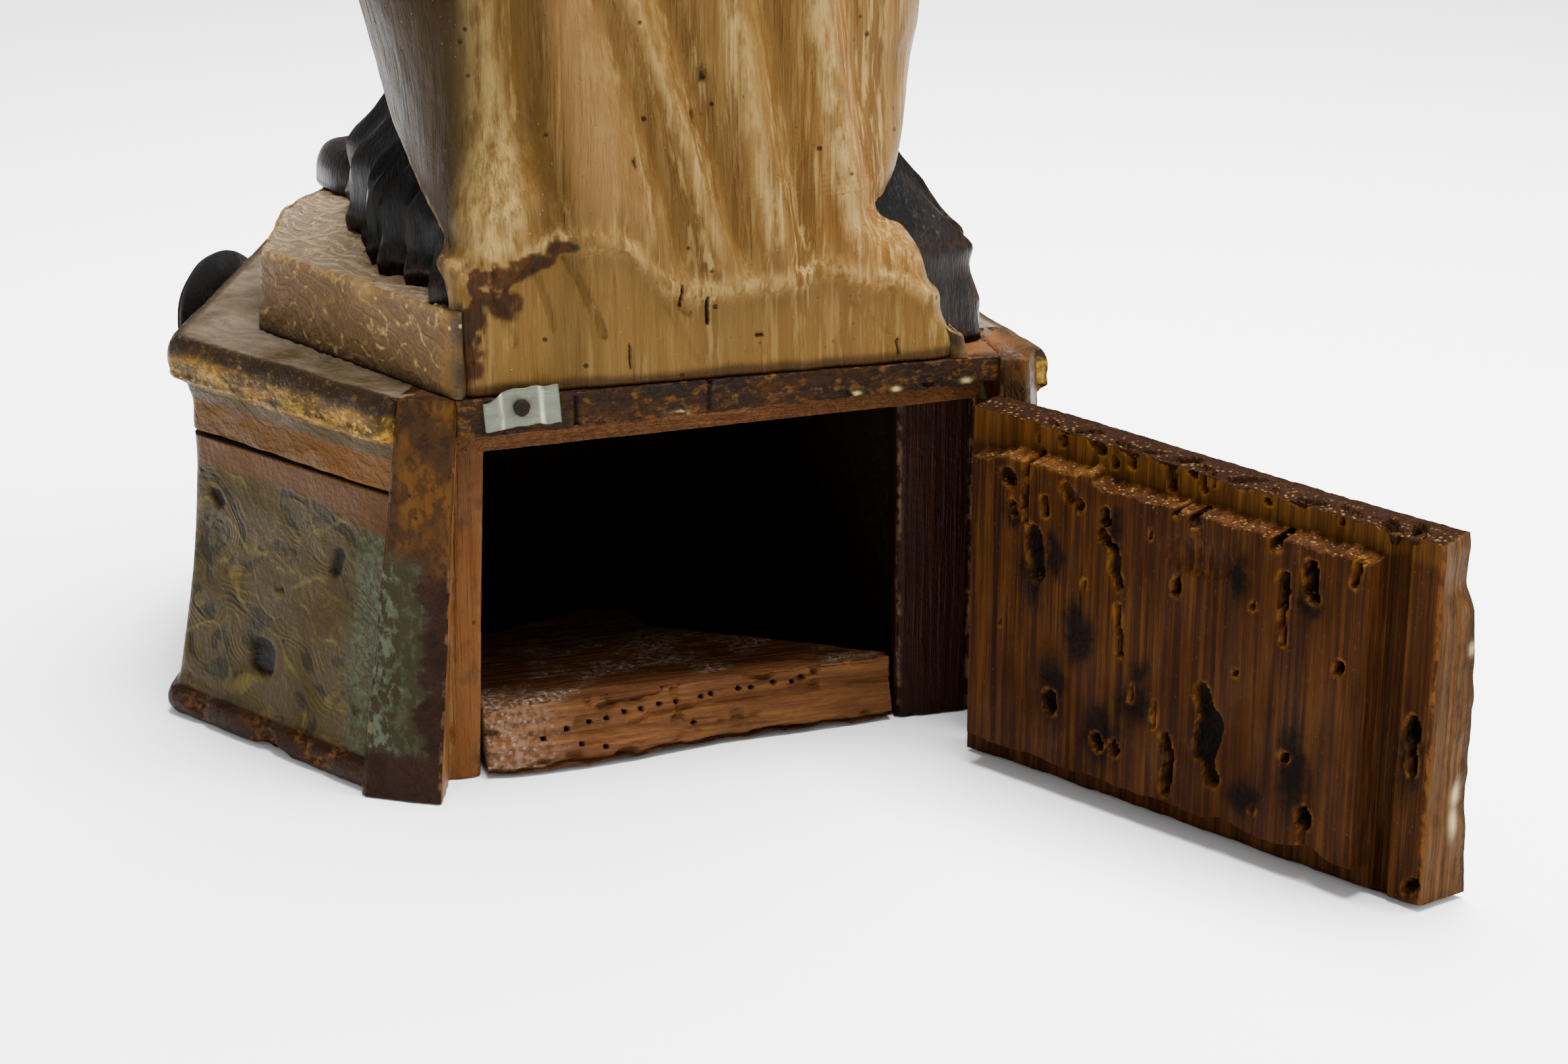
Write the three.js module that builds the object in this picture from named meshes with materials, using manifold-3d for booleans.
// Carved wooden saint standing on a hollow plinth with an open back door. Millimetres, +Z up.
// The statue faces -Y. The origin lies under the middle of the door opening, 60 mm in from the back face.
import * as THREE from 'three';
import { mergeVertices } from 'three/addons/utils/BufferGeometryUtils.js';
import Module from 'manifold-3d';

const wasm = await Module();
wasm.setup();

// Heights
const LEDGE_TOP = 151.2;
const LEDGE_BOTTOM = 114.2;
const CASE_TOP = 112.2;
const BLOCK_TOP = 182.8;
const FLOOR_TOP = 25;
const REAR_FLOOR = 5;
const CEILING = 131;

// Plan of the ledge's upper edge, seen from above and running counterclockwise
const BACK_LEFT = [100, 58.5];
const SIDE_LEFT = [121, 49];
const WIDE_CORNER = [185.6, -52.3];
const FRONT_LEFT = [128, -200];
const FRONT_RIGHT = [-88, -200];
const SIDE_RIGHT = [-118, 52];
const CANT_RIGHT = [-110, 65];
const BACK_RIGHT = [-100.4, 62.9];
const BACK_Y = 60;

// Plinth
const WALL = 15;
const REBATE = 16;
const HINGE_REBATE = 27.5;
const GAP = 0.3;
const PANEL_TOP_IN = -2.5;
const PANEL_FOOT_OUT = 8.7;
const PANEL_HOLLOW = 1.6;
const FOOT_HEIGHT = 11;
const FOOT_OUT = 4.6;
const BEAD_MID = 142;
const BEAD_HALF = 9.6;
const BEAD_OUT = 5.4;

// Door
const HINGE = [-100, 63.4];
const DOOR_OPEN_DEG = 120.85;
const PLANK = 15;
const FIELD = 9.5;
const DOOR_WIDTH = 199.5;
const DOOR_TOP = 133.1;
const HINGE_RISE = 4.5;

// Turn-button
const NAIL_X = 78.4;
const NAIL_Z = 147.6;
const PLATE_HALF = 13.7;
const PLATE_HEIGHT = 14;
const PLATE_THICK = 1;

// Figure
const HEAD_HEIGHT = 82;
const CHIN_Z = 701;
const HEAD_X = 6;
const HEAD_Y = -24;
const COLLAR_Z = 680;
const COLLAR_ROLL = 5;

const group = new THREE.Group();

function cleaned(geometry) {
  const bare = geometry.clone();
  bare.deleteAttribute('normal');
  bare.deleteAttribute('uv');
  return mergeVertices(bare, 1e-4);
}

function solid(geometry) {
  const tidy = cleaned(geometry);
  const vertProperties = new Float32Array(tidy.attributes.position.array);
  const triVerts = new Uint32Array(tidy.index.array);
  return new wasm.Manifold(new wasm.Mesh({ numProp: 3, vertProperties, triVerts }));
}

function geometryOf(body) {
  const mesh = body.getMesh();
  const geometry = new THREE.BufferGeometry();
  geometry.setAttribute('position', new THREE.BufferAttribute(new Float32Array(mesh.vertProperties), 3));
  geometry.setIndex(new THREE.BufferAttribute(new Uint32Array(mesh.triVerts), 1));
  return geometry;
}

function add(name, geometry, color, roughness, metalness = 0) {
  geometry.computeVertexNormals();
  const material = new THREE.MeshStandardMaterial({ color, roughness, metalness });
  const mesh = new THREE.Mesh(geometry, material);
  mesh.name = name;
  group.add(mesh);
}

// Closed body through rings of equal point count, each counterclockwise from above, lowest first.
function loft(rings) {
  const n = rings[0].length;
  const index = [];
  for (let j = 0; j + 1 < rings.length; j += 1) {
    for (let i = 0; i < n; i += 1) {
      const a = j * n + i;
      const b = j * n + ((i + 1) % n);
      index.push(a, b, b + n, a, b + n, a + n);
    }
  }
  const flat = (ring) => ring.map(([x, y]) => new THREE.Vector2(x, y));
  const top = (rings.length - 1) * n;
  for (const [a, b, c] of THREE.ShapeUtils.triangulateShape(flat(rings[0]), [])) {
    index.push(a, c, b);
  }
  for (const [a, b, c] of THREE.ShapeUtils.triangulateShape(flat(rings[rings.length - 1]), [])) {
    index.push(top + a, top + b, top + c);
  }
  const geometry = new THREE.BufferGeometry();
  geometry.setAttribute('position', new THREE.Float32BufferAttribute(rings.flat(2), 3));
  geometry.setIndex(index);
  return geometry;
}

function prism(points, low, high) {
  return loft([points.map(([x, y]) => [x, y, low]), points.map(([x, y]) => [x, y, high])]);
}

// Moves every side of a counterclockwise polygon outward by its own distance.
function grown(points, distances) {
  const n = points.length;
  const line = (i) => {
    const [x0, y0] = points[i];
    const [x1, y1] = points[(i + 1) % n];
    const length = Math.hypot(x1 - x0, y1 - y0);
    const nx = (y1 - y0) / length;
    const ny = (x0 - x1) / length;
    return [nx, ny, nx * x0 + ny * y0 + distances[i]];
  };
  return points.map((_, i) => {
    const [a, b, c] = line((i + n - 1) % n);
    const [d, e, f] = line(i);
    const det = a * e - b * d;
    return [(c * e - b * f) / det, (a * f - c * d) / det];
  });
}

// Smooth curve through rows of [height, value], for any one height.
function along(rows, z) {
  const last = rows.length - 1;
  if (z <= rows[0][0]) return rows[0][1];
  if (z >= rows[last][0]) return rows[last][1];
  const i = rows.findIndex((row) => row[0] > z) - 1;
  const slope = (k) => {
    const p = rows[Math.max(k - 1, 0)];
    const q = rows[Math.min(k + 1, last)];
    return (q[1] - p[1]) / (q[0] - p[0]);
  };
  const width = rows[i + 1][0] - rows[i][0];
  const t = (z - rows[i][0]) / width;
  const bend = t * t * (3 - 2 * t);
  const lead = t * (1 - t) * (1 - t) * slope(i) * width;
  const trail = t * t * (t - 1) * slope(i + 1) * width;
  return rows[i][1] * (1 - bend) + rows[i + 1][1] * bend + lead + trail;
}

const bump = (distance, width) => Math.exp(-((distance / width) ** 2));

// Plinth: moulded ledge, splayed hollow case, corner posts, back rail, floor board

const PLAN = [FRONT_LEFT, WIDE_CORNER, SIDE_LEFT, SIDE_RIGHT, FRONT_RIGHT];

function planRing(offset, z) {
  return grown(PLAN, [offset, offset, 0, offset, offset]).map(([x, y]) => [x, y, z]);
}

function beadOffset(z) {
  const reach = 1 - ((z - BEAD_MID) / BEAD_HALF) ** 2;
  return BEAD_OUT * Math.sqrt(Math.max(reach, 0));
}

// Counterclockwise sections of the flat corner posts, top and foot, with the rebate the door shuts into.
function leftPostRings(extra) {
  const top = [BACK_LEFT, [100, BACK_Y - REBATE], [88, BACK_Y - REBATE], [88, 26], [106.4, 26], SIDE_LEFT];
  const foot = [[112.7, 66], [106, BACK_Y - REBATE], [94, BACK_Y - REBATE], [94, 26], [124, 22],
    [140.6, 48.5]];
  const sides = [extra, extra, extra, extra, extra, extra];
  return [
    grown(foot, sides).map(([x, y]) => [x, y, -extra]),
    grown(top, sides).map(([x, y]) => [x, y, LEDGE_TOP + extra]),
  ];
}

function rightPostRings(extra) {
  const inner = BACK_Y + 2 - HINGE_REBATE;
  const top = [BACK_RIGHT, CANT_RIGHT, SIDE_RIGHT, [-114.4, 22], [-70, 22], [-70, inner], [-100.4, inner]];
  const foot = [[-102, 63.2], [-119, 65.5], [-129, 50], [-127.6, 22], [-71, 22], [-71, inner],
    [-100.5, inner]];
  const sides = [extra, extra, extra, extra, extra, extra, extra];
  return [
    grown(foot, sides).map(([x, y]) => [x, y, -extra]),
    grown(top, sides).map(([x, y]) => [x, y, LEDGE_TOP + extra]),
  ];
}

// Rail profile in depth and height, run from one post to the other.
function railBody(extra) {
  const front = BACK_Y + extra;
  const rebate = BACK_Y - REBATE + extra;
  const deep = 26 - extra;
  const ring = (x, lift) => [
    [x, deep, 126.5 + lift - extra],
    [x, rebate, 126.5 + lift - extra],
    [x, rebate, 137.4 + lift - extra],
    [x, front, 137.4 + lift - extra],
    [x, front, LEDGE_TOP + extra],
    [x, deep, LEDGE_TOP + extra],
  ];
  const left = ring(BACK_LEFT[0] + 2, 0);
  const right = ring(BACK_RIGHT[0] - 1, 4.2);
  const geometry = new THREE.BufferGeometry();
  const n = left.length;
  const index = [];
  for (let i = 0; i < n; i += 1) {
    const j = (i + 1) % n;
    index.push(i, j, j + n, i, j + n, i + n);
  }
  for (const [a, b, c] of [[0, 5, 2], [0, 2, 1], [2, 5, 4], [2, 4, 3]]) {
    index.push(a, b, c, n + a, n + c, n + b);
  }
  geometry.setAttribute('position', new THREE.Float32BufferAttribute([...right, ...left].flat(), 3));
  geometry.setIndex(index);
  return solid(geometry);
}

const leftPostBody = solid(loft(leftPostRings(0)));
const rightPostBody = solid(loft(rightPostRings(0)));
const leftPostRoom = solid(loft(leftPostRings(GAP)));
const rightPostRoom = solid(loft(rightPostRings(GAP)));

const hollowSides = [-WALL, -WALL, 60, -WALL, -WALL];
const hollowPlan = grown(PLAN, hollowSides);
const hollow = solid(prism(hollowPlan, -10, CEILING));
const box = (x0, y0, x1, y1) => solid(prism([[x0, y0], [x1, y0], [x1, y1], [x0, y1]], -10, 200));

// Everything behind the ends of the ledge and case: the room of the posts and rail
const leftEnd = ([px, py], [qx, qy], z) => {
  const start = [px + GAP, py - GAP / 2];
  const end = [start[0] + 3 * (qx - px), start[1] + 3 * (qy - py)];
  return [[50, py - GAP], start, end, [end[0], 140], [50, 140]].map(([x, y]) => [x, y, z]);
};
const backRoom = solid(loft([leftEnd([124, 22], [140.6, 48.5], -0.1), leftEnd([106.4, 26], SIDE_LEFT, 152)]))
  .add(box(-69.6, 26 - GAP, 60, 140))
  .add(box(-200, 22 - GAP, -69.6, 140));

const ledgeHeights = [LEDGE_BOTTOM, 124, 128, 132.4, 134, 137, 142, 147, 149.5, LEDGE_TOP];
const ledgeRings = ledgeHeights.map((z) => {
  const cavetto = z < BEAD_MID - BEAD_HALF ? -2 * bump(z - 124, 6) : 0;
  const strip = z < 124 ? -2 : cavetto;
  return planRing(strip + beadOffset(z), z);
});
const ledgeBody = solid(loft(ledgeRings)).subtract(hollow).subtract(backRoom);
add('ledge', geometryOf(ledgeBody), 0x4a3826, 0.6);

const caseHeights = [0, 2.5, 5.5, 8.5, FOOT_HEIGHT, 12, 25, 40, 56, 72, 88, 101, CASE_TOP];
const caseRings = caseHeights.map((z) => {
  if (z <= FOOT_HEIGHT) {
    const round = Math.sqrt(Math.max(1 - ((z - 5.5) / 6.2) ** 2, 0));
    return planRing(PANEL_FOOT_OUT + FOOT_OUT * round, z);
  }
  const t = Math.min((z - FOOT_HEIGHT) / (101 - FOOT_HEIGHT), 1);
  const splay = PANEL_FOOT_OUT + (PANEL_TOP_IN - PANEL_FOOT_OUT) * t;
  return planRing(splay - PANEL_HOLLOW * Math.sin(Math.PI * t), z);
});
const caseBody = solid(loft(caseRings)).subtract(hollow).subtract(backRoom);
add('plinth_case', geometryOf(caseBody), 0x5d5a3f, 0.65);

add('left_corner_post', geometryOf(leftPostBody), 0x6b3f22, 0.6);
add('right_corner_post', geometryOf(rightPostBody), 0x6b3f22, 0.6);

function cylinder(radius, length, sides) {
  return new THREE.CylinderGeometry(radius, radius, length, sides);
}

const shankRoom = solid(cylinder(1.5, 30, 16).translate(NAIL_X, BACK_Y, NAIL_Z));
const railOnly = railBody(0).subtract(leftPostRoom).subtract(rightPostRoom).subtract(shankRoom);
add('back_rail', geometryOf(railOnly), 0x33261c, 0.6);

// Wedge-shaped board: the edge under the door slopes, the far edge is left rough.
const edgeBottom = [[92.5, 46.5], [77, 48.5], [40, 46.2], [0, 39.3], [-36, 37.5], [-65, 35]];
const edgeTop = [[90.5, 40.5], [77, 39.5], [40, 37.5], [0, 34], [-36, 31.8], [-66, 31.4]];
const farEdge = [[-69, 27], [-9, -11], [17, -29], [15, -44], [33, -50], [72, -36], [118, -33]];
const floorRing = (edge, z) => [...edge, ...farEdge].map(([x, y]) => [x, y, z]);
const floorSides = grown(PLAN, [-WALL - GAP, -WALL - GAP, 60, -WALL - GAP, -WALL - GAP]);
const floorBody = solid(loft([floorRing(edgeBottom, 0), floorRing(edgeTop, FLOOR_TOP)]))
  .intersect(solid(prism(floorSides, -1, FLOOR_TOP + 1)))
  .subtract(leftPostRoom)
  .subtract(rightPostRoom);
add('floor_board', geometryOf(floorBody), 0x8a5a33, 0.75);

// Thin dark board that closes the bottom beyond the rough edge
const rearEdge = [[118, -33.6], [72, -36.6], [33, -50.7], [14.4, -44.6], [16.4, -29.4], [-9, -11.7],
  [-69.5, 26.3], [-69.5, 21.6], [-200, 21.6]];
const rearBody = solid(prism([[-200, -300], [200, -300], [200, -33.6], ...rearEdge], 0, REAR_FLOOR))
  .intersect(solid(prism(floorSides, -1, FLOOR_TOP + 1)))
  .subtract(leftPostRoom)
  .subtract(rightPostRoom);
add('rear_floor_board', geometryOf(rearBody), 0x1c130d, 0.85);

// Door: plank with a raised inner field, drawn shut and then swung to the pose it rests in

function doorPoint(u, v, z) {
  const angle = THREE.MathUtils.degToRad(DOOR_OPEN_DEG);
  const c = Math.cos(angle);
  const s = Math.sin(angle);
  return [HINGE[0] + u * c + v * s, HINGE[1] + u * s - v * c, z];
}

function placeDoor(body) {
  return body.warp((p) => {
    const [x, y, z] = doorPoint(p[0], -p[1], p[2]);
    p[0] = x;
    p[1] = y;
    p[2] = z;
  });
}

// How far the plank's far edge stands out, by height
const FAR_EDGE = [[0, 5.6], [20, 4.8], [43, 4.4], [76, 5.8], [106, 3.8], [114, 0.6], [DOOR_TOP, 0]];

// Rings across the plank: outer face at v = 0, inner face at v = PLANK, splayed outward near the foot.
function plankBody() {
  const heights = [1.2, 20, 45, 71, 95, 114, DOOR_TOP];
  const rings = heights.map((z, row) => {
    const t = 1 - z / DOOR_TOP;
    const splay = -7 * t * t;
    const far = DOOR_WIDTH + along(FAR_EDGE, z);
    const top = row === heights.length - 1;
    const bottom = row === 0;
    const rise = top ? HINGE_RISE : 0;
    const foot = bottom ? -0.9 : 0;
    return [
      [0, 0, z + rise + foot],
      [0, -PLANK, z + rise * 0.7 + foot],
      [DOOR_WIDTH - 14, -PLANK, z],
      [DOOR_WIDTH + 0.4, -PLANK, z],
      [far, -splay, z + (bottom ? 0.8 : 0)],
      [DOOR_WIDTH / 2, -0.6 * splay, z],
    ];
  });
  return solid(loft(rings));
}

const upright = (points, depth, back) => {
  const shape = new THREE.Shape(points.map(([u, z]) => new THREE.Vector2(u, z)));
  const plate = new THREE.ExtrudeGeometry(shape, { depth, bevelEnabled: false });
  return solid(plate.rotateX(Math.PI / 2).translate(0, -back, 0));
};

const fieldOutline = [
  [7, 11], [177, 10.5], [177, 122.5], [61.5, 122.8], [61, 121.5], [36, 124.6], [34, 124.6], [33.6, 104],
  [31.4, 104], [31, 124], [27, 124.5], [7, 119.5],
];
const groove = upright([[178, 0], [185.5, 0], [185.5, 126], [178, 126]], 5, PLANK - 4);
const fieldPlate = upright(fieldOutline, FIELD + 1, PLANK - 1);
const doorBody = placeDoor(plankBody().subtract(groove).add(fieldPlate));
add('door', geometryOf(doorBody), 0x6e4527, 0.8);

// Turn-button: bent zinc strip on a nail

const plateLine = [
  [-PLATE_HALF, 2.6], [-7.2, 1.6], [-6, 0.4], [6, 0.4], [7.2, 1.9], [PLATE_HALF, 1.2],
];
const plateEdge = [...plateLine, ...plateLine.map(([x, y]) => [x, y + PLATE_THICK]).reverse()];
const plateStrip = solid(prism(plateEdge, -PLATE_HEIGHT / 2, PLATE_HEIGHT / 2));
const plateLean = THREE.MathUtils.degToRad(4);
const plateBody = plateStrip.warp((p) => {
  const [x, z] = [p[0], p[2]];
  p[0] = NAIL_X + x * Math.cos(plateLean) + z * Math.sin(plateLean);
  p[1] = BACK_Y + p[1];
  p[2] = NAIL_Z - x * Math.sin(plateLean) + z * Math.cos(plateLean);
}).subtract(shankRoom);
add('turn_button', geometryOf(plateBody), 0xa9b7bd, 0.4, 1);

const nailHead = solid(cylinder(3, 1.2, 20).translate(NAIL_X, BACK_Y + 2.4, NAIL_Z));
const nailShank = solid(cylinder(1.1, 13, 12).translate(NAIL_X, BACK_Y - 4.4, NAIL_Z));
add('turn_button_nail', geometryOf(nailHead.add(nailShank)), 0x4b3a33, 0.5, 1);

// Oval plaque with a wavy rim, leaning outward from the front left side

const PLAQUE_LONG = 56;
const PLAQUE_TALL = 18;
const PLAQUE_MID_Z = 136;
const PLAQUE_LEAN = 0.42;
const PLAQUE_OUT = 9.8;
const PLAQUE_FROM_CORNER = 92;
const PLAQUE_THICK = 2;

function plaquePoint(ring, turn, back) {
  const wave = 1 + 0.035 * Math.sin(9 * turn) * ring;
  const s = PLAQUE_LONG * ring * wave * Math.cos(turn);
  const h = PLAQUE_TALL * ring * wave * Math.sin(turn);
  const z = PLAQUE_MID_Z + h;
  const dish = 2.4 * ring * ring;
  const out = PLAQUE_OUT + PLAQUE_LEAN * (z - BEAD_MID) + dish - back;
  const dx = FRONT_LEFT[0] - WIDE_CORNER[0];
  const dy = FRONT_LEFT[1] - WIDE_CORNER[1];
  const length = Math.hypot(dx, dy);
  const run = (PLAQUE_FROM_CORNER + s) / length;
  const x = WIDE_CORNER[0] + dx * run - (dy / length) * out;
  const y = WIDE_CORNER[1] + dy * run + (dx / length) * out;
  return [x, y, z];
}

function plaqueBody() {
  const sides = 36;
  const rings = [0.35, 0.7, 0.92, 1];
  const points = [plaquePoint(0, 0, 0)];
  const index = [];
  for (const back of [0, 1]) {
    const order = back ? [...rings].reverse() : rings;
    for (const ring of order) {
      for (let i = 0; i < sides; i += 1) {
        points.push(plaquePoint(ring, (2 * Math.PI * i) / sides, back * PLAQUE_THICK * (1.15 - 0.55 * ring)));
      }
    }
  }
  points.push(plaquePoint(0, 0, PLAQUE_THICK * 1.15));
  const rows = rings.length * 2;
  const at = (row, i) => 1 + row * sides + (i % sides);
  for (let i = 0; i < sides; i += 1) {
    index.push(0, at(0, i + 1), at(0, i));
    index.push(points.length - 1, at(rows - 1, i), at(rows - 1, i + 1));
    for (let row = 0; row + 1 < rows; row += 1) {
      index.push(at(row, i), at(row, i + 1), at(row + 1, i + 1));
      index.push(at(row, i), at(row + 1, i + 1), at(row + 1, i));
    }
  }
  const geometry = new THREE.BufferGeometry();
  geometry.setAttribute('position', new THREE.Float32BufferAttribute(points.flat(), 3));
  geometry.setIndex(index);
  return geometry;
}

add('side_plaque', plaqueBody(), 0x171312, 0.35);

// Figure: mantle over robe, carved as one with the ground block

// Extent of the mantle and of the robe from their middle, by height
const MANTLE_LEFT = [[150, 101], [183, 102], [197, 103], [208, 101], [219, 102], [240, 107], [267, 113],
  [295, 119.5], [330, 123], [400, 128], [470, 131], [530, 127], [575, 117], [615, 105], [640, 94], [655, 83],
  [667, 65], [677, 46], [686, 33], [692, 27]];
const MANTLE_RIGHT = [[150, -88], [161, -85], [171, -79], [187, -73], [198, -69.5], [209, -68], [218, -72],
  [240, -81], [260, -87], [270, -90], [320, -94], [400, -104], [470, -111], [530, -108], [575, -99],
  [615, -88], [640, -77], [655, -67], [667, -51], [677, -33], [686, -21], [692, -16]];
const MANTLE_BACK = [[150, 60], [200, 59.5], [250, 56], [320, 50], [400, 44], [470, 40], [540, 38], [600, 36],
  [640, 31], [660, 23], [675, 12], [686, 4], [692, 0]];
const ROBE_LEFT = [[150, 112], [197, 113], [211, 112], [222, 103], [234, 94], [260, 92], [330, 95], [400, 96],
  [480, 92], [540, 84], [600, 80], [640, 72], [660, 60], [675, 42], [686, 30], [692, 26]];
const ROBE_RIGHT = [[150, -103], [165, -102], [178, -99], [187, -97], [196, -91], [207, -83], [219, -76],
  [240, -72], [300, -76], [420, -80], [500, -74], [560, -67], [600, -63], [640, -56], [660, -45], [675, -28],
  [686, -17], [692, -14]];
const ROBE_FRONT = [[150, -152], [200, -150], [240, -143], [300, -134], [380, -122], [460, -108], [520, -98],
  [570, -94], [610, -90], [640, -80], [660, -66], [675, -53], [686, -46], [692, -42]];
const MIDDLE_Y = [[150, -38], [300, -34], [450, -28], [600, -24], [692, -22]];
// How square the outlines are, by height: 2 is round
const MANTLE_SQUARE = [[150, 8], [195, 8], [215, 5], [245, 3], [300, 2.6]];
const ROBE_SQUARE_LEFT = [[150, 3.2], [240, 3.2], [260, 2.6]];
const ROBE_SQUARE_RIGHT = [[150, 8], [190, 7], [215, 4], [250, 2.6]];
// Where the mantle's two edges lie, in degrees round from the middle of the back
const EDGE_LEFT = [[150, 47], [195, 48], [208, 53], [219, 62], [240, 80], [267, 96], [300, 108], [340, 116],
  [430, 124], [500, 130], [560, 138], [620, 148], [692, 158]];
const EDGE_RIGHT = [[150, -47], [195, -48], [208, -54], [218, -64], [240, -84], [267, -98], [300, -108],
  [340, -114], [430, -122], [500, -130], [560, -138], [620, -148], [692, -158]];
// Folds down the back: position near the hem, at knee height and at the shoulders, width, height
const BACK_FOLDS = [
  [82, 99, 74, 20, 8], [61, 73, 54, 7, -6], [38, 56, 40, 13, 3], [11, 49, 33, 7, -4], [2, 41, 27, 7, 5],
  [-7, 27, 16, 6, -4], [-18, 4, -2, 8, 5], [-31, -14, -15, 7, -5], [-47, -29, -28, 9, 6],
  [-60, -48, -44, 9, -4], [-72, -72, -62, 12, 3],
];
const HEM_Z = 190;
const KNEE_Z = 305;
const SHOULDER_Z = 625;

function backFold(x, z) {
  const knee = (z - HEM_Z) / (KNEE_Z - HEM_Z);
  const shoulder = (z - KNEE_Z) / (SHOULDER_Z - KNEE_Z);
  const fade = Math.min(Math.max((660 - z) / 60, 0), 1) * Math.min(Math.max((z - 165) / 45, 0.15), 1);
  let depth = 0;
  for (const [low, mid, high, width, height] of BACK_FOLDS) {
    const place = z < KNEE_Z ? low + (mid - low) * knee : mid + (high - mid) * shoulder;
    depth += height * bump(x - place, width);
  }
  return depth * fade;
}

function ringPoint(left, right, back, front, degrees, power, z) {
  const angle = THREE.MathUtils.degToRad(degrees);
  const s = Math.sin(angle);
  const c = Math.cos(angle);
  const midX = (left + right) / 2;
  const midY = along(MIDDLE_Y, z);
  const halfX = (left - right) / 2;
  const halfY = c > 0 ? back - midY : midY - front;
  const reach = (Math.abs(s) ** power + Math.abs(c) ** power) ** (-1 / power);
  return [midX + halfX * s * reach, midY + halfY * c * reach];
}

function mantlePoint(degrees, z) {
  const front = along(ROBE_FRONT, z) - 3;
  const left = along(MANTLE_LEFT, z);
  const right = along(MANTLE_RIGHT, z);
  const back = along(MANTLE_BACK, z);
  const [x, y] = ringPoint(left, right, back, front, degrees, along(MANTLE_SQUARE, z), z);
  const facing = Math.cos(THREE.MathUtils.degToRad(degrees));
  const fold = backFold(x, z) * Math.max(facing, 0) ** 0.6;
  const side = 3 * Math.sin(THREE.MathUtils.degToRad(degrees * 5.5 + z * 0.35)) * Math.max(0.4 - facing, 0);
  const collar = COLLAR_ROLL * bump(z - COLLAR_Z, 8);
  const out = fold + side * Math.min((692 - z) / 80, 1) + collar;
  const turn = THREE.MathUtils.degToRad(degrees);
  const flush = z < 200 ? Math.min(y + out * Math.cos(turn), BACK_Y - 0.2) : y + out * Math.cos(turn);
  return [x + out * Math.sin(turn), flush, z];
}

function robePoint(degrees, z) {
  const left = along(ROBE_LEFT, z);
  const right = along(ROBE_RIGHT, z);
  const back = along(MANTLE_BACK, z) - 9;
  const power = along(degrees > -180 ? ROBE_SQUARE_RIGHT : ROBE_SQUARE_LEFT, z);
  const [x, y] = ringPoint(left, right, back, along(ROBE_FRONT, z), degrees, power, z);
  const turn = THREE.MathUtils.degToRad(degrees);
  const hem = Math.min(Math.max((520 - z) / 300, 0.12), 1);
  const pleat = 4.6 * Math.sin(turn * 13 + z * 0.012) * hem + 2 * Math.sin(turn * 7 + 1) * hem;
  return [x + pleat * Math.sin(turn), y + pleat * Math.cos(turn), z];
}

const MANTLE_STEPS = 44;
const ROBE_STEPS = 26;

function figureRing(z) {
  const edgeLeft = along(EDGE_LEFT, z);
  const edgeRight = along(EDGE_RIGHT, z);
  const ring = [];
  for (let i = 0; i <= MANTLE_STEPS; i += 1) {
    ring.push(mantlePoint(edgeLeft + ((edgeRight - edgeLeft) * i) / MANTLE_STEPS, z));
  }
  for (let i = 0; i <= ROBE_STEPS; i += 1) {
    ring.push(robePoint(edgeRight + ((edgeLeft - 360 - edgeRight) * i) / ROBE_STEPS, z));
  }
  return ring;
}

const bodyHeights = [LEDGE_TOP + GAP, 166, 183, 197, 211, 222, 234, 248, 264, 285, 305, 330, 360, 392, 425,
  458, 490, 520, 548, 575, 600, 622, 640, 654, 665, 674, 681, 687, 692];
const figureBody = solid(loft(bodyHeights.map(figureRing)));

const BLOCK_PLAN = [[99, 59.6], [154.5, -52], [137.5, -115], [128, -130], [95, -172], [-72, -172], [-88, 30],
  [-88, 59.6]].reverse();
const blockRing = (out, z) => grown(BLOCK_PLAN, BLOCK_PLAN.map((_, i) => (i === 7 ? 0 : out)))
  .map(([x, y]) => [x, Math.min(y, 59.6), z]);
const blockRings = [blockRing(1.5, LEDGE_TOP + GAP), blockRing(0, 172), blockRing(-0.6, BLOCK_TOP)];
const blockBody = solid(loft(blockRings));

// Head: rings from chin to crown, as parts of the head's height: half width, face, back of the skull
const SKULL = {
  wide: [[0, 0.06], [0.04, 0.13], [0.1, 0.185], [0.2, 0.24], [0.35, 0.285], [0.5, 0.31], [0.65, 0.335],
    [0.76, 0.33], [0.86, 0.28], [0.94, 0.19], [0.985, 0.09], [1, 0.02]],
  face: [[0, 0.27], [0.04, 0.355], [0.1, 0.385], [0.2, 0.37], [0.3, 0.38], [0.42, 0.385], [0.56, 0.385],
    [0.66, 0.425], [0.78, 0.415], [0.88, 0.34], [0.95, 0.23], [0.985, 0.12], [1, 0.02]],
  nape: [[0, 0.14], [0.1, 0.22], [0.2, 0.27], [0.35, 0.35], [0.5, 0.42], [0.65, 0.45], [0.78, 0.42],
    [0.88, 0.33], [0.95, 0.22], [0.985, 0.11], [1, 0.02]],
};

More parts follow.
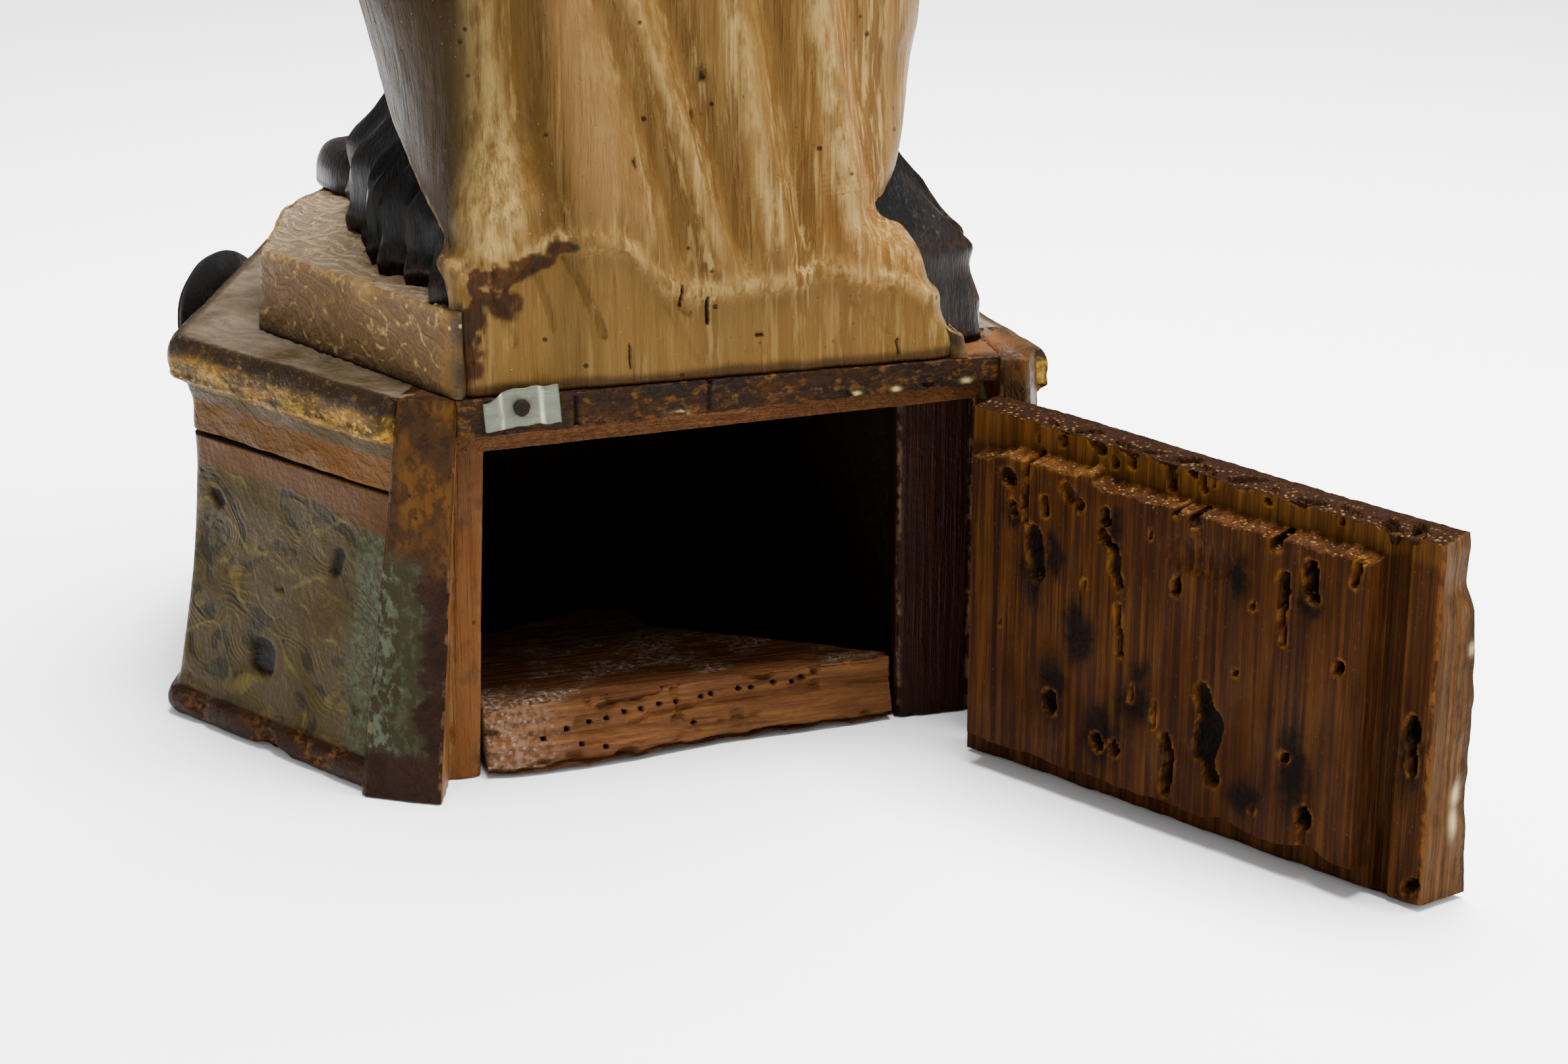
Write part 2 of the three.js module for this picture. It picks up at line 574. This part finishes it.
// Relief of the face at a place across (-1 to 1 of the half width) and up the head
function faceRelief(across, t) {
  const x = Math.abs(across);
  const nose = 0.115 * bump(t - 0.385, 0.045) * bump(x, 0.19) + 0.07 * bump(t - 0.47, 0.1) * bump(x, 0.13);
  const brow = 0.024 * bump(t - 0.635, 0.035) * bump(x - 0.36, 0.3);
  const socket = -0.05 * bump(t - 0.565, 0.05) * bump(x - 0.38, 0.2);
  const eye = 0.036 * bump(t - 0.555, 0.03) * bump(x - 0.39, 0.15);
  const lips = 0.03 * bump(t - 0.265, 0.02) * bump(x, 0.24) + 0.03 * bump(t - 0.225, 0.02) * bump(x, 0.2);
  const parting = -0.02 * bump(t - 0.246, 0.008) * bump(x, 0.26);
  const chin = 0.03 * bump(t - 0.09, 0.05) * bump(x, 0.3) - 0.022 * bump(t - 0.17, 0.03) * bump(x, 0.3);
  const cheek = 0.016 * bump(t - 0.42, 0.1) * bump(x - 0.6, 0.25);
  return nose + brow + socket + eye + lips + parting + chin + cheek;
}

function headPoint(degrees, t) {
  const angle = THREE.MathUtils.degToRad(degrees);
  const s = Math.sin(angle);
  const c = Math.cos(angle);
  const wide = along(SKULL.wide, t);
  const reach = c < 0 ? along(SKULL.face, t) : along(SKULL.nape, t);
  const front = Math.max(-c, 0);
  const relief = c < 0 ? faceRelief(s, t) * front ** 0.5 : 0;
  const sideHair = Math.min(Math.max((c + 0.3) / 0.25, 0), 1) * Math.min(Math.max((t - 0.12) / 0.12, 0), 1);
  const topHair = Math.min(Math.max((t - 0.8) / 0.06, 0), 1);
  const hair = Math.max(sideHair, topHair) * 0.055 * (1 - 0.8 * bump(t - 1, 0.03));
  return [
    HEAD_X + HEAD_HEIGHT * (wide + hair) * s,
    HEAD_Y + HEAD_HEIGHT * ((reach + hair) * c - relief),
    CHIN_Z + HEAD_HEIGHT * (t + topHair * 0.02),
  ];
}

const headLevels = [0, 0.05, 0.1, 0.15, 0.2, 0.235, 0.265, 0.3, 0.34, 0.38, 0.42, 0.47, 0.52, 0.56, 0.6, 0.64,
  0.7, 0.77, 0.84, 0.9, 0.95, 0.985, 1];
const HEAD_SIDES = 36;
const headRings = headLevels.map((t) => Array.from({ length: HEAD_SIDES }, (_, i) => {
  return headPoint(180 - (360 * i) / HEAD_SIDES, t);
}));
const headBody = solid(loft(headRings));
const neckBody = solid(loft([640, 690, 722].map((z) => Array.from({ length: 20 }, (_, i) => {
  const turn = (-2 * Math.PI * i) / 20;
  const radius = z > 700 ? 17 : 18.5;
  return [HEAD_X + radius * Math.sin(turn), HEAD_Y + 5 + (radius + 1) * Math.cos(turn), z];
}))));

// A tapering round limb through points of [x, y, z, radius]
function limb(points) {
  const sides = 16;
  const rows = [];
  const index = [];
  const count = points.length;
  for (let j = 0; j < count; j += 1) {
    const here = new THREE.Vector3(...points[j]);
    const before = new THREE.Vector3(...points[Math.max(j - 1, 0)]);
    const after = new THREE.Vector3(...points[Math.min(j + 1, count - 1)]);
    const run = after.sub(before).normalize();
    const out = new THREE.Vector3(0, 0, 1).cross(run).normalize();
    const up = run.clone().cross(out);
    for (let i = 0; i < sides; i += 1) {
      const turn = (2 * Math.PI * i) / sides;
      const side = out.clone().multiplyScalar(points[j][3] * Math.cos(turn));
      rows.push(here.clone().add(side).addScaledVector(up, points[j][3] * Math.sin(turn)).toArray());
    }
  }
  for (let j = 0; j + 1 < count; j += 1) {
    for (let i = 0; i < sides; i += 1) {
      const a = j * sides + i;
      const b = j * sides + ((i + 1) % sides);
      index.push(a, b, b + sides, a, b + sides, a + sides);
    }
  }
  const last = (count - 1) * sides;
  for (let i = 1; i + 1 < sides; i += 1) {
    index.push(0, i + 1, i, last, last + i, last + i + 1);
  }
  const geometry = new THREE.BufferGeometry();
  geometry.setAttribute('position', new THREE.Float32BufferAttribute(rows.flat(), 3));
  geometry.setIndex(index);
  return solid(geometry);
}

const sleeveLeft = limb([[98, -10, 560, 26], [92, -52, 536, 31], [66, -92, 548, 29], [38, -118, 566, 24],
  [26, -127, 574, 20]]);
const sleeveRight = limb([[-80, -10, 560, 26], [-76, -52, 536, 31], [-52, -92, 548, 29], [-26, -118, 566, 24],
  [-14, -127, 574, 20]]);
const wristLeft = limb([[44, -112, 564, 13], [26, -128, 571, 12], [10, -136, 576, 10]]);
const wristRight = limb([[-32, -112, 564, 13], [-14, -128, 571, 12], [2, -136, 576, 10]]);

// Joined hands: two flat palms, fingers upward
function palm(side) {
  const levels = [[0, 11, 13], [8, 12, 16], [20, 10, 17], [34, 9, 17], [48, 8, 14], [60, 6.6, 10.5],
    [68, 4, 6]];
  const rings = levels.map(([h, thick, wide]) => Array.from({ length: 14 }, (_, i) => {
    const turn = (-2 * Math.PI * i) / 14;
    const x = HEAD_X + side * (thick * 0.55 + 0.2) + thick * 0.62 * Math.sin(turn);
    return [x, -134 - h * 0.26 + wide * 0.8 * Math.cos(turn), 566 + h];
  }));
  return solid(loft(rings));
}

// Shoes: rounded toes under the robe's front hem
function shoe(x, y, turnDeg, length) {
  const turn = THREE.MathUtils.degToRad(turnDeg);
  const rings = [[0, 0.92, 1], [5, 1, 1], [11, 0.96, 0.97], [17, 0.76, 0.86], [21, 0.42, 0.6]];
  return solid(loft(rings.map(([h, wide, long]) => Array.from({ length: 20 }, (_, i) => {
    const angle = (-2 * Math.PI * i) / 20;
    const across = 14 * wide * Math.sin(angle);
    const forward = -length * long * (0.5 - 0.5 * Math.cos(angle)) - 2;
    return [
      x + across * Math.cos(turn) - forward * Math.sin(turn),
      y + across * Math.sin(turn) + forward * Math.cos(turn),
      BLOCK_TOP - 2 + h,
    ];
  }))));
}

const saint = figureBody
  .add(blockBody)
  .add(neckBody)
  .add(headBody)
  .add(sleeveLeft)
  .add(sleeveRight)
  .add(wristLeft)
  .add(wristRight)
  .add(palm(1))
  .add(palm(-1))
  .add(shoe(96, -110, 14, 58))
  .add(shoe(-28, -118, -10, 50));
add('saint_figure', geometryOf(saint), 0x9c7a4a, 0.5);

export default group;
